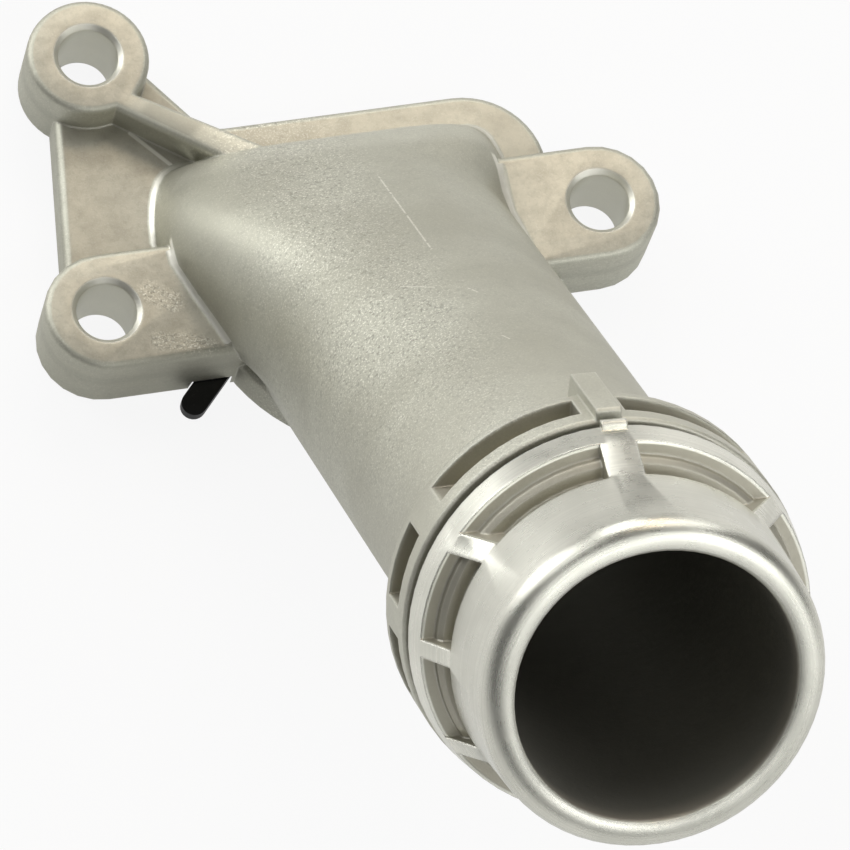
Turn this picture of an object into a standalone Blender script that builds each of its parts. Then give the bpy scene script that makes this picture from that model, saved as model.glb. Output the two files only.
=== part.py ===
"""Coolant pipe: a cast aluminium connection with a three-bolt flange and a push-on spigot.

Metres, +Z up. The origin is the centre of the port on the flange's mating face, at z = 0.
+Z runs along the bolts, away from the engine, and the pipe leans from +Z towards -Y.
"""

import math

import bmesh
import bpy
from mathutils import Matrix, Vector

MM = 0.001

# Pipe: round, with a square-shouldered hood where it stands on the flange
PIPE_LEAN = math.radians(45.0)
PIPE_REACH = 119.5 * MM
PIPE_RADIUS = 17.5 * MM
PIPE_WALL = 2.8 * MM
HOOD_LEFT_WIDENING = 8.3 * MM
HOOD_BACK_INSET = 2.1 * MM
HOOD_BACK = PIPE_RADIUS - HOOD_BACK_INSET
HOOD_BACK_ROUNDING = 3.0 * MM
HOOD_SHOULDER_LENGTH = 30.0 * MM
HOOD_BLEND_LENGTH = 50.0 * MM
HOOD_RIGHT_BLEND_START = -3.0 * MM
HOOD_RIGHT_BLEND_LENGTH = 9.0 * MM
HOOD_SQUARENESS = 4.2
PORT_LEDGE = 0.6 * MM
PORT_RADIUS = HOOD_BACK - PIPE_WALL - PORT_LEDGE

# Flange: a thin plate that carries two tabs and a round boss, each with a bolt hole.
# The tabs' bolt axes are measured from the hood's sides
PLATE_THICKNESS = 5.0 * MM
TAB_HEIGHT = 9.5 * MM
TAB_RADIUS = 7.2 * MM
BOLT_HOLE_RADIUS = 3.5 * MM
BOLT_HOLE_CHAMFER = 0.6 * MM
BOLT_FROM_LEFT_SIDE = 7.9 * MM
BOLT_FROM_RIGHT_SIDE = 8.8 * MM
LEFT_TAB_X = -(PIPE_RADIUS + HOOD_LEFT_WIDENING + BOLT_FROM_LEFT_SIDE)
LEFT_TAB_Y = -3.1 * MM
RIGHT_TAB_X = PIPE_RADIUS + BOLT_FROM_RIGHT_SIDE
RIGHT_TAB_Y = 2.1 * MM
BOSS_X = -29.5 * MM
BOSS_Y = 28.8 * MM
TAB_ROOT_DEPTH = 5.5 * MM
RING_MARGIN = 4.1 * MM
RING_RADIUS = PIPE_RADIUS + RING_MARGIN
PLATE_TOP_MARGIN = 4.2 * MM
PLATE_RIGHT_MARGIN = 4.9 * MM
PLATE_CORNER_RADIUS = 9.5 * MM
PLATE_EDGE_INSET = 3.9 * MM
PLATE_NECK_REACH = 15.0 * MM
PLATE_NECK_RADIUS = 4.2 * MM
CAST_EDGE_RADIUS = 0.8 * MM
CAST_FILLET_RADIUS = 1.1 * MM
FILLET_DIP = 0.12 * MM

# Stiffening rib, level with the round boss, which it leaves between two angles for the hood's shoulder
RIB_START_ANGLES = (-49.5, -74.5)
RIB_END_ANGLES = (-32.5, -36.2)
RIB_LENGTH = 17.5 * MM

# Spigot: distances are measured back from the nose face, and heights from the land
SPIGOT_STEP = 1.4 * MM
SPIGOT_WALL = 3.4 * MM
MOUTH_CHAMFER = 0.4 * MM
NOSE_RADIUS = 2.2 * MM
LAND_LENGTH = 12.4 * MM
LAND_TAPER = 0.5 * MM
RAMP_LENGTH = 3.5 * MM
FRONT_COLLAR_HEIGHT = 2.2 * MM
FRONT_COLLAR_FLARE = 0.5 * MM
FRONT_COLLAR_WIDTH = 3.5 * MM
CLIP_GROOVE_WIDTH = 1.2 * MM
CLIP_GROOVE_DEPTH = 1.8 * MM
REAR_COLLAR_HEIGHT = 2.9 * MM
REAR_COLLAR_WIDTH = 7.8 * MM
REAR_COLLAR_EDGE = 0.7 * MM
REAR_SLOPE_LENGTH = 4.2 * MM
COLLAR_EDGE_RADIUS = 0.3 * MM
LAND_FRONT_RADIUS = PIPE_RADIUS + SPIGOT_STEP
LAND_REAR_RADIUS = LAND_FRONT_RADIUS + LAND_TAPER
MOUTH_RADIUS = LAND_FRONT_RADIUS - SPIGOT_WALL
FRONT_COLLAR_RADIUS = LAND_REAR_RADIUS + FRONT_COLLAR_HEIGHT
REAR_COLLAR_RADIUS = LAND_REAR_RADIUS + REAR_COLLAR_HEIGHT

# Pockets cut in the ramp and in the rear collar. The spokes left between them lie parallel:
# three across the pipe, and one each way to the key and to the side opposite the key
SPOKE_TILT = math.radians(1.6)
SPOKE_OFFSET = 0.45 * MM
SPOKE_SPACING_SHARE = 0.603
SPOKE_WIDTH = 2.0 * MM
WEB_WIDTH = 3.6 * MM
KEY_ANGLE = math.radians(3.2)
KEY_SPOKE_LEFT = 2.3 * MM
KEY_SPOKE_RIGHT = 1.7 * MM
WINDOW_KEY_WIDTH = 4.9 * MM
RAMP_POCKET_DEPTH = 1.2 * MM
RAMP_POCKET_STEP = 0.7 * MM
RAMP_POCKET_BEAD = 1.3 * MM
RAMP_POCKET_LIP = 0.2 * MM
RAMP_POCKET_REACH = 0.1 * MM
LAND_EDGE_CHAMFER = 0.5 * MM
WINDOW_DEPTH = 3.5 * MM
WINDOW_WIDTH = 3.8 * MM
WINDOW_CORNER = 0.8 * MM
REAR_RIM_WIDTH = 1.7 * MM

# Key lug across the rear collar, with a low block on the front collar in line with it
LUG_WIDTH = 2.8 * MM
LUG_HEIGHT = 1.1 * MM
LUG_LENGTH = 10.2 * MM
LUG_TAIL = 2.4 * MM
KEY_BLOCK_HEIGHT = 0.7 * MM
KEY_BLOCK_LENGTH = 1.0 * MM
KEY_SETBACK = 0.1 * MM

# Gasket pressed into a groove in the mating face, with a flat tongue that shows past the flange
GROOVE_MARGIN = 4.7 * MM
GROOVE_RADIUS = RING_RADIUS - GROOVE_MARGIN
GROOVE_WIDTH = 3.2 * MM
GROOVE_DEPTH = 2.4 * MM
GASKET_CLEARANCE = 0.3 * MM
GASKET_PROUD = 0.4 * MM
GASKET_EDGE = 0.4 * MM
TONGUE_ROOT_ANGLE = math.radians(195.4)
TONGUE_DIRECTION = math.radians(226.0)
TONGUE_LENGTH = 13.1 * MM
TONGUE_WIDTH = 3.0 * MM
TONGUE_THICKNESS = 1.3 * MM
TONGUE_RECESS = 0.2 * MM

SEGMENTS = 64
SHARP_ANGLE = math.radians(28.0)
OVERCUT = 1.0 * MM


def clear_scene():
    for obj in list(bpy.data.objects):
        bpy.data.objects.remove(obj, do_unlink=True)


def make_material(name, colour, roughness, metallic):
    material = bpy.data.materials.new(name)
    material.use_nodes = True
    shader = material.node_tree.nodes["Principled BSDF"]
    shader.inputs["Base Color"].default_value = (*colour, 1.0)
    shader.inputs["Roughness"].default_value = roughness
    shader.inputs["Metallic"].default_value = metallic
    return material


def aluminium():
    return make_material("cast_aluminium", (0.56, 0.55, 0.52), 0.45, 1.0)


def black_rubber():
    return make_material("black_rubber", (0.015, 0.015, 0.016), 0.5, 0.0)


def object_from(name, bm):
    bmesh.ops.recalc_face_normals(bm, faces=bm.faces)
    mesh = bpy.data.meshes.new(name)
    bm.to_mesh(mesh)
    bm.free()
    obj = bpy.data.objects.new(name, mesh)
    bpy.context.scene.collection.objects.link(obj)
    return obj


def helper_from(name, bm):
    """A solid that only shapes another one."""
    obj = object_from(name, bm)
    obj.hide_render = True
    obj.display_type = "WIRE"
    return obj


def combine(target, helper, operation):
    modifier = target.modifiers.new(f"{operation.lower()} {helper.name}", "BOOLEAN")
    modifier.operation = operation
    modifier.solver = "EXACT"
    modifier.object = helper


def finish_solid(obj, material):
    """Makes the combined shape the object's own mesh, cleans it and shades it smooth."""
    bpy.context.view_layer.update()
    combined = obj.evaluated_get(bpy.context.evaluated_depsgraph_get())
    obj.data = bpy.data.meshes.new_from_object(combined)
    obj.modifiers.clear()
    for helper in [o for o in bpy.data.objects if o.hide_render]:
        bpy.data.objects.remove(helper, do_unlink=True)
    bm = bmesh.new()
    bm.from_mesh(obj.data)
    bmesh.ops.remove_doubles(bm, verts=bm.verts, dist=0.0004 * MM)
    bmesh.ops.dissolve_degenerate(bm, edges=bm.edges, dist=0.0004 * MM)
    for face in bm.faces:
        face.smooth = True
        face.material_index = 0
    bm.to_mesh(obj.data)
    bm.free()
    obj.data.materials.clear()
    obj.data.materials.append(material)
    obj.data.set_sharp_from_angle(angle=SHARP_ANGLE)


def smoothstep(value):
    value = min(max(value, 0.0), 1.0)
    return value * value * (3.0 - 2.0 * value)


def arc(centre, radius, start, end, count):
    """Points on a circle from one angle to another, in degrees."""
    angles = [math.radians(start + (end - start) * i / count) for i in range(count + 1)]
    return [Vector(centre) + radius * Vector((math.cos(a), math.sin(a))) for a in angles]


def stadium(start, end, radius, count=12):
    """A straight tab with both ends round."""
    along = math.degrees(math.atan2(end.y - start.y, end.x - start.x))
    far = arc(end, radius, along - 90.0, along + 90.0, count)
    near = arc(start, radius, along + 90.0, along + 270.0, count)
    return far + near


def prism(outline, bottom, top, edge_radius=0.0):
    """An upright solid on a flat outline, with its top edge rounded."""
    bm = bmesh.new()
    base = bm.faces.new([bm.verts.new((p.x, p.y, bottom)) for p in outline])
    extruded = bmesh.ops.extrude_face_region(bm, geom=[base])["geom"]
    lifted = [v for v in extruded if isinstance(v, bmesh.types.BMVert)]
    bmesh.ops.translate(bm, verts=lifted, vec=(0.0, 0.0, top - bottom))
    if edge_radius:
        rim = [e for e in bm.edges if all(abs(v.co.z - top) < 1e-7 for v in e.verts)]
        bmesh.ops.bevel(bm, geom=rim, offset=edge_radius, segments=3, affect="EDGES", profile=0.5)
    return bm


def pipe_frame():
    """Columns: across the pipe, over its back, and along it towards the nose."""
    lean = PIPE_LEAN
    across = Vector((1.0, 0.0, 0.0))
    back = Vector((0.0, math.cos(lean), math.sin(lean)))
    along = Vector((0.0, -math.sin(lean), math.cos(lean)))
    return Matrix((across, back, along)).transposed()


def pipe_point(u, v, along):
    return pipe_frame() @ Vector((u, v, along))


def rounded_minimum(first, second, rounding):
    """The lesser of two lengths, with the corner between them rounded."""
    share = min(max(0.5 + 0.5 * (second - first) / rounding, 0.0), 1.0)
    return second + (first - second) * share - rounding * share * (1.0 - share)


def hood_outline(along, inset=0.0):
    """The pipe's outline at a distance along it: a rounded box on the flange, a circle further out."""
    shoulder = 1.0 - smoothstep(along / HOOD_SHOULDER_LENGTH)
    left_boxiness = 1.0 - smoothstep(along / HOOD_BLEND_LENGTH)
    right_boxiness = 1.0 - smoothstep((along - HOOD_RIGHT_BLEND_START) / HOOD_RIGHT_BLEND_LENGTH)
    back_wall = (HOOD_BACK - inset + along * math.sin(PIPE_LEAN)) / math.cos(PIPE_LEAN)
    points = []
    for i in range(SEGMENTS):
        angle = 2.0 * math.pi * i / SEGMENTS
        cos, sin = math.cos(angle), math.sin(angle)
        upper = smoothstep((sin + 0.25) / 0.45)
        right = smoothstep((cos + 0.35) / 0.7)
        boxiness = left_boxiness + (right_boxiness - left_boxiness) * right
        power = 2.0 / (2.0 + (HOOD_SQUARENESS - 2.0) * boxiness * upper)
        reach = PIPE_RADIUS - inset
        if cos < 0.0:
            reach += HOOD_LEFT_WIDENING * shoulder * upper
        u = math.copysign(reach * abs(cos) ** power, cos)
        v = math.copysign((PIPE_RADIUS - inset) * abs(sin) ** power, sin)
        points.append((u, rounded_minimum(v, back_wall, HOOD_BACK_ROUNDING)))
    return points


def circle_outline(radius, turn=0.0):
    angles = [2.0 * math.pi * (i + turn) / SEGMENTS for i in range(SEGMENTS)]
    return [(radius * math.cos(a), radius * math.sin(a)) for a in angles]


def loft(sections):
    """A closed skin through outlines, each given as its distance along the pipe and its points."""
    bm = bmesh.new()
    rings = []
    for along, outline in sections:
        rings.append([bm.verts.new(pipe_point(u, v, along)) for u, v in outline])
    for lower, upper in zip(rings, rings[1:]):
        for i in range(len(lower)):
            j = (i + 1) % len(lower)
            bm.faces.new((lower[i], lower[j], upper[j], upper[i]))
    bm.faces.new(list(reversed(rings[0])))
    bm.faces.new(rings[-1])
    return bm


def cut_below(bm, height):
    """Removes what lies below a height and closes the cut."""
    geometry = list(bm.verts) + list(bm.edges) + list(bm.faces)
    bmesh.ops.bisect_plane(
        bm, geom=geometry, dist=1e-7, plane_co=(0.0, 0.0, height), plane_no=(0.0, 0.0, 1.0), clear_inner=True
    )
    bmesh.ops.edgeloop_fill(bm, edges=[e for e in bm.edges if e.is_boundary])
    return bm


def spigot_profile():
    """Radius against distance back from the nose face, from the nose to the pipe."""
    ramp_end = LAND_LENGTH + RAMP_LENGTH
    collar_end = ramp_end + FRONT_COLLAR_WIDTH
    groove_end = collar_end + CLIP_GROOVE_WIDTH
    rear_end = groove_end + REAR_COLLAR_WIDTH
    edge = COLLAR_EDGE_RADIUS
    profile = [(MOUTH_RADIUS + MOUTH_CHAMFER, 0.0)]
    for step in range(6):
        turn = math.radians(90.0 * step / 5)
        radius = LAND_FRONT_RADIUS - NOSE_RADIUS * (1.0 - math.sin(turn))
        profile.append((radius, NOSE_RADIUS * (1.0 - math.cos(turn))))
    profile += [
        (LAND_REAR_RADIUS, LAND_LENGTH),
        (FRONT_COLLAR_RADIUS, ramp_end),
        (FRONT_COLLAR_RADIUS + FRONT_COLLAR_FLARE, collar_end - edge),
        (FRONT_COLLAR_RADIUS + FRONT_COLLAR_FLARE - edge, collar_end),
        (REAR_COLLAR_RADIUS - CLIP_GROOVE_DEPTH, collar_end),
        (REAR_COLLAR_RADIUS - CLIP_GROOVE_DEPTH, groove_end),
        (REAR_COLLAR_RADIUS - edge, groove_end),
        (REAR_COLLAR_RADIUS, groove_end + edge),
    ]
    height = REAR_COLLAR_RADIUS - PIPE_RADIUS
    slope_start = rear_end - REAR_COLLAR_EDGE
    slope = ((0.0, 0.0), (0.08, 0.02), (0.15, 0.08), (0.7, 0.82), (0.82, 0.93), (0.95, 0.99), (1.1, 1.0))
    for share, drop in slope:
        profile.append((REAR_COLLAR_RADIUS - height * drop, slope_start + REAR_SLOPE_LENGTH * share))
    return profile


def hood_stations(reach):
    """Distances along the pipe for the hood's sections, from under the mating face outwards."""
    foot = -(HOOD_BACK + reach) * math.cos(PIPE_LEAN)
    below = [foot * share for share in (1.0, 0.8, 0.62, 0.5, 0.39, 0.28, 0.18, 0.08)]
    shares = (0.01, 0.04, 0.08, 0.12, 0.18, 0.26, 0.34, 0.44, 0.56, 0.7, 0.85, 1.0)
    return below + [HOOD_BLEND_LENGTH * share for share in shares]


def build_pipe_body():
    """Hood, pipe and spigot in one skin, run a little past the mating face."""
    sections = [(along, hood_outline(along)) for along in hood_stations(3.0 * OVERCUT)]
    for radius, back in reversed(spigot_profile()):
        sections.append((PIPE_REACH - back, circle_outline(radius)))
    return cut_below(loft(sections), -0.5 * OVERCUT)


def build_waterway():
    """The passage inside the pipe, stopped by the plate, and the round port through the plate."""
    sections = [(along, hood_outline(along, PIPE_WALL)) for along in hood_stations(0.0)]
    sections.append((PIPE_REACH - MOUTH_CHAMFER, circle_outline(MOUTH_RADIUS)))
    flare = MOUTH_CHAMFER + OVERCUT
    sections.append((PIPE_REACH + OVERCUT, circle_outline(MOUTH_RADIUS + flare)))
    return cut_below(loft(sections), PLATE_THICKNESS + 0.5 * PORT_LEDGE)


def boss_centre():
    return Vector((BOSS_X, BOSS_Y))


def left_tab_centre():
    return Vector((LEFT_TAB_X, LEFT_TAB_Y))


def right_tab_centre():
    return Vector((RIGHT_TAB_X, RIGHT_TAB_Y))


def plate_outline():
    """The plate's edge: round under the pipe, square at the far corner, drawn out to the boss."""
    boss, left_tab = boss_centre(), left_tab_centre()
    side = (boss - left_tab).normalized()
    outward = Vector((-side.y, side.x))
    top = HOOD_BACK + PLATE_TOP_MARGIN
    right = PIPE_RADIUS + PLATE_RIGHT_MARGIN
    corner = Vector((right - PLATE_CORNER_RADIUS, top - PLATE_CORNER_RADIUS))
    neck = Vector((boss.x + PLATE_NECK_REACH, top + PLATE_NECK_RADIUS))
    outline = arc((0.0, 0.0), RING_RADIUS, 205.0, 375.0, 34)
    outline += arc(corner, PLATE_CORNER_RADIUS, 0.0, 90.0, 12)
    outline += arc(neck, PLATE_NECK_RADIUS, 270.0, 213.0, 6)
    outline += arc(boss, 0.97 * TAB_RADIUS, -8.0, -8.0, 1)[:1]
    return outline + [boss + outward * PLATE_EDGE_INSET, left_tab + outward * PLATE_EDGE_INSET]


def boss_outline():
    """The round boss with its rib, which widens towards the hood."""
    upper_start, lower_start = RIB_START_ANGLES
    outline = arc(boss_centre(), TAB_RADIUS, upper_start, lower_start + 360.0, 44)
    ends = []
    for start, corner in ((upper_start, outline[0]), (lower_start, outline[-1])):
        heading = math.radians(RIB_END_ANGLES[RIB_START_ANGLES.index(start)])
        ends.append(corner + Vector((math.cos(heading), math.sin(heading))) * RIB_LENGTH)
    return outline + list(reversed(ends))


def horizontal_outline(height, grow):
    """Where the hood crosses a level, pushed outwards by an amount."""
    points = []
    for i in range(SEGMENTS):
        along = 0.0
        for _ in range(12):
            u, v = hood_outline(along)[i]
            along = (height - v * math.sin(PIPE_LEAN)) / math.cos(PIPE_LEAN)
        place = pipe_point(u, v, along)
        points.append(Vector((place.x, place.y)))
    pushed = []
    for i in range(SEGMENTS):
        tangent = (points[(i + 1) % SEGMENTS] - points[i - 1]).normalized()
        pushed.append(points[i] + Vector((tangent.y, -tangent.x)) * grow)
    return pushed


def inset_outline(outline, inset):
    """A flat outline drawn in by an amount."""
    drawn = []
    for i, point in enumerate(outline):
        tangent = (outline[(i + 1) % len(outline)] - outline[i - 1]).normalized()
        drawn.append(point - Vector((tangent.y, -tangent.x)) * inset)
    return drawn


def build_skirt(level):
    """The cast fillet between the hood and a flat level of the flange. It dips into both."""
    bm = bmesh.new()
    radius = CAST_FILLET_RADIUS
    toe = math.radians(18.0)
    outlines = [horizontal_outline(level, radius)]
    heights = [level - OVERCUT]
    for step in range(5):
        share = step / 4
        turn = toe + (math.radians(90.0) - toe) * share
        height = level - FILLET_DIP + radius * (math.cos(toe) - math.cos(turn))
        grow = radius * (1.0 - math.sin(turn)) / (1.0 - math.sin(toe)) - FILLET_DIP * share
        outlines.append(horizontal_outline(height, grow))
        heights.append(height)
    rings = []
    for outline, height in zip(outlines, heights):
        rings.append([bm.verts.new((p.x, p.y, height)) for p in outline])
    for lower, upper in zip(rings, rings[1:]):
        for i in range(SEGMENTS):
            j = (i + 1) % SEGMENTS
            bm.faces.new((lower[i], lower[j], upper[j], upper[i]))
    bm.faces.new(list(reversed(rings[0])))
    bm.faces.new(rings[-1])
    return bm


def turned_point(turn, across, up, back):
    """A point on the spigot: across and up are square to the pipe, turned round it by an angle."""
    cos, sin = math.cos(turn), math.sin(turn)
    return pipe_point(across * cos + up * sin, up * cos - across * sin, PIPE_REACH - back)


def cross_bar(turn, outline, left, right):
    """An outline of up and back pairs, drawn across the pipe from left to right."""
    bm = bmesh.new()
    sides = []
    for across in (left, right):
        sides.append([bm.verts.new(turned_point(turn, across, up, back)) for up, back in outline])
    for i in range(len(outline)):
        j = (i + 1) % len(outline)
        bm.faces.new((sides[0][i], sides[0][j], sides[1][j], sides[1][i]))
    bm.faces.new(list(reversed(sides[0])))
    bm.faces.new(sides[1])
    return bm


def ramp_pocket_profile():
    rear = LAND_LENGTH + RAMP_LENGTH + RAMP_POCKET_REACH
    outside = REAR_COLLAR_RADIUS + 2.0 * OVERCUT
    bead = RAMP_POCKET_BEAD
    floor = LAND_REAR_RADIUS - RAMP_POCKET_DEPTH
    step = LAND_REAR_RADIUS + RAMP_POCKET_STEP
    return [
        (outside, rear),
        (step, rear),
        (step - 0.1 * bead, rear - 0.5 * bead),
        (step - 0.5 * bead, rear - 0.9 * bead),
        (floor, rear - bead),
        (floor, LAND_LENGTH + LAND_EDGE_CHAMFER),
        (LAND_REAR_RADIUS - LAND_EDGE_CHAMFER, LAND_LENGTH + RAMP_POCKET_LIP),
        (LAND_REAR_RADIUS + 0.1 * LAND_EDGE_CHAMFER, LAND_LENGTH - LAND_EDGE_CHAMFER),
        (outside, LAND_LENGTH - LAND_EDGE_CHAMFER),
    ]


def window_profile():
    rear = LAND_LENGTH + RAMP_LENGTH + FRONT_COLLAR_WIDTH + CLIP_GROOVE_WIDTH + REAR_COLLAR_WIDTH
    back = rear - REAR_RIM_WIDTH
    front = back - WINDOW_WIDTH
    outside = REAR_COLLAR_RADIUS + 2.0 * OVERCUT
    floor = REAR_COLLAR_RADIUS - WINDOW_DEPTH
    return [
        (outside, back),
        (floor + WINDOW_CORNER, back),
        (floor, back - WINDOW_CORNER),
        (floor, front + WINDOW_CORNER),
        (floor + WINDOW_CORNER, front),
        (outside, front),
    ]


def pocket_edges(key_left, key_right, spoke_width):
    """The edges of the spokes in order round the pipe, as lines square to the pipe.

    Each is the angle of the line's normal, its distance from the axis, which of its two crossings
    of the ring is meant, and the turn it belongs to.
    """
    half = spoke_width / 2.0
    spacing = SPOKE_SPACING_SHARE * LAND_REAR_RADIUS
    upright = math.radians(90.0) - SPOKE_TILT
    levels = []
    for middle in (spacing, 0.0, -spacing):
        levels += [middle + SPOKE_OFFSET + half, middle + SPOKE_OFFSET - half]
    full_turn = 2.0 * math.pi
    edges = [(-KEY_ANGLE, -key_left, 1.0, 0.0)]
    edges += [(upright, level, 1.0, 0.0) for level in levels]
    edges += [(-KEY_ANGLE, -half, -1.0, full_turn), (-KEY_ANGLE, half, -1.0, full_turn)]
    edges += [(upright, level, -1.0, full_turn) for level in reversed(levels)]
    edges.append((-KEY_ANGLE, key_right, 1.0, full_turn))
    return edges


def edge_angle(edge, radius):
    normal, distance, side, turn = edge
    return normal + turn + side * math.acos(distance / radius)


def add_pocket(bm, profile, first, last):
    """A closed solid swept round the pipe between two spoke edges."""
    span = edge_angle(last, PIPE_RADIUS) - edge_angle(first, PIPE_RADIUS)
    count = max(3, round(SEGMENTS * span / (2.0 * math.pi)))
    rings = []
    for step in range(count + 1):
        ring = []
        for radius, back in profile:
            start, end = edge_angle(first, radius), edge_angle(last, radius)
            angle = start + (end - start) * step / count
            point = pipe_point(radius * math.cos(angle), radius * math.sin(angle), PIPE_REACH - back)
            ring.append(bm.verts.new(point))
        rings.append(ring)
    for near, far in zip(rings, rings[1:]):
        for i in range(len(profile)):
            j = (i + 1) % len(profile)
            bm.faces.new((near[i], near[j], far[j], far[i]))
    bm.faces.new(list(reversed(rings[0])))
    bm.faces.new(rings[-1])


def build_pockets(profile, key_left, key_right, spoke_width):
    """A ring of pockets, with the spokes left between them."""
    bm = bmesh.new()
    edges = pocket_edges(key_left, key_right, spoke_width)
    for first, last in zip(edges[0::2], edges[1::2]):
        add_pocket(bm, profile, first, last)
    return bm


def build_lug():
    """A raised key across the rear collar, with a tail that runs down to the pipe."""
    front = LAND_LENGTH + RAMP_LENGTH + FRONT_COLLAR_WIDTH + CLIP_GROOVE_WIDTH + KEY_SETBACK
    top = REAR_COLLAR_RADIUS + LUG_HEIGHT
    root = PIPE_RADIUS - OVERCUT
    outline = [
        (root, front),
        (top - COLLAR_EDGE_RADIUS, front),
        (top, front + COLLAR_EDGE_RADIUS),
        (top, front + LUG_LENGTH),
        (root, front + LUG_LENGTH + LUG_TAIL),
    ]
    return cross_bar(KEY_ANGLE, outline, -LUG_WIDTH / 2.0, LUG_WIDTH / 2.0)


def build_key_block():
    """The low block at the rear edge of the front collar."""
    rear = LAND_LENGTH + RAMP_LENGTH + FRONT_COLLAR_WIDTH - KEY_SETBACK
    front = rear - KEY_BLOCK_LENGTH
    top = FRONT_COLLAR_RADIUS + FRONT_COLLAR_FLARE + KEY_BLOCK_HEIGHT
    root = FRONT_COLLAR_RADIUS - OVERCUT
    edge = COLLAR_EDGE_RADIUS
    outline = [(root, front), (top - edge, front), (top, front + edge), (top, rear), (root, rear)]
    return cross_bar(KEY_ANGLE, outline, -LUG_WIDTH / 2.0, LUG_WIDTH / 2.0)


def upright_spin(profile, centre):
    """A closed solid from radius and height pairs that start and end on an upright axis."""
    bm = bmesh.new()
    count = 48
    rings = []
    for radius, height in profile:
        ring = []
        for i in range(count):
            angle = 2.0 * math.pi * i / count
            x = centre.x + radius * math.cos(angle)
            y = centre.y + radius * math.sin(angle)
            ring.append(bm.verts.new((x, y, height)))
        rings.append(ring)
    for lower, upper in zip(rings, rings[1:]):
        for i in range(count):
            j = (i + 1) % count
            bm.faces.new((lower[i], lower[j], upper[j], upper[i]))
    bm.faces.new(list(reversed(rings[0])))
    bm.faces.new(rings[-1])
    return bm


def build_bolt_hole(centre):
    return upright_spin(
        [
            (BOLT_HOLE_RADIUS, -OVERCUT),
            (BOLT_HOLE_RADIUS, TAB_HEIGHT - BOLT_HOLE_CHAMFER),
            (BOLT_HOLE_RADIUS + BOLT_HOLE_CHAMFER + OVERCUT, TAB_HEIGHT + OVERCUT),
        ],
        centre,
    )


def ring_solid(inner, outer, profile_heights, count=SEGMENTS):
    """A flat ring round the port, from inner to outer radius, with given section heights."""
    bm = bmesh.new()
    rings = []
    for i in range(count):
        angle = 2.0 * math.pi * i / count
        cos, sin = math.cos(angle), math.sin(angle)
        rings.append([bm.verts.new((r * cos, r * sin, z)) for r, z in profile_heights(inner, outer)])
    for i in range(count):
        first, second = rings[i], rings[(i + 1) % count]
        for k in range(len(first)):
            m = (k + 1) % len(first)
            bm.faces.new((first[k], first[m], second[m], second[k]))
    return bm


def groove_section(inner, outer):
    return [(inner, -OVERCUT), (outer, -OVERCUT), (outer, GROOVE_DEPTH), (inner, GROOVE_DEPTH)]


def gasket_section(inner, outer):
    """A flat-backed ring with a rounded sealing bead."""
    top = GROOVE_DEPTH - GASKET_CLEARANCE
    middle = (inner + outer) / 2.0
    quarter = (outer - inner) / 4.0
    return [
        (inner, top),
        (inner, GASKET_EDGE),
        (middle - quarter, 0.25 * GASKET_EDGE),
        (middle - 0.5 * quarter, -0.7 * GASKET_PROUD),
        (middle, -GASKET_PROUD),
        (middle + 0.5 * quarter, -0.7 * GASKET_PROUD),
        (middle + quarter, 0.25 * GASKET_EDGE),
        (outer, GASKET_EDGE),
        (outer, top),
    ]


def tongue_ends():
    root = Vector((math.cos(TONGUE_ROOT_ANGLE), math.sin(TONGUE_ROOT_ANGLE))) * GROOVE_RADIUS
    direction = Vector((math.cos(TONGUE_DIRECTION), math.sin(TONGUE_DIRECTION)))
    tip = root + direction * (TONGUE_LENGTH - TONGUE_WIDTH / 2.0)
    return root, tip


def build_tongue_notch():
    root, tip = tongue_ends()
    half = TONGUE_WIDTH / 2.0 + GASKET_CLEARANCE
    beyond = tip + (tip - root)
    depth = TONGUE_RECESS + TONGUE_THICKNESS + GASKET_CLEARANCE
    return prism(stadium(root, beyond, half), -OVERCUT, depth)


def add_fillets(casting, name, level, outline):
    """The hood's fillet on one flat of the flange, kept inside that flat's rounded edge."""
    skirt = helper_from(f"{name}_fillet", build_skirt(level))
    bounds = prism(inset_outline(outline, 1.2 * CAST_EDGE_RADIUS), level - 0.6 * OVERCUT, level + 2.0 * OVERCUT)
    combine(skirt, helper_from(f"{name}_bounds", bounds), "INTERSECT")
    combine(casting, skirt, "UNION")


def build_below_face():
    """A block whose top is the mating face."""
    size = 2.0 * (PIPE_REACH + abs(LEFT_TAB_X))
    bm = bmesh.new()
    bmesh.ops.create_cube(bm, size=size)
    bmesh.ops.translate(bm, verts=bm.verts, vec=(0.0, 0.0, -size / 2.0))
    return bm


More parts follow.
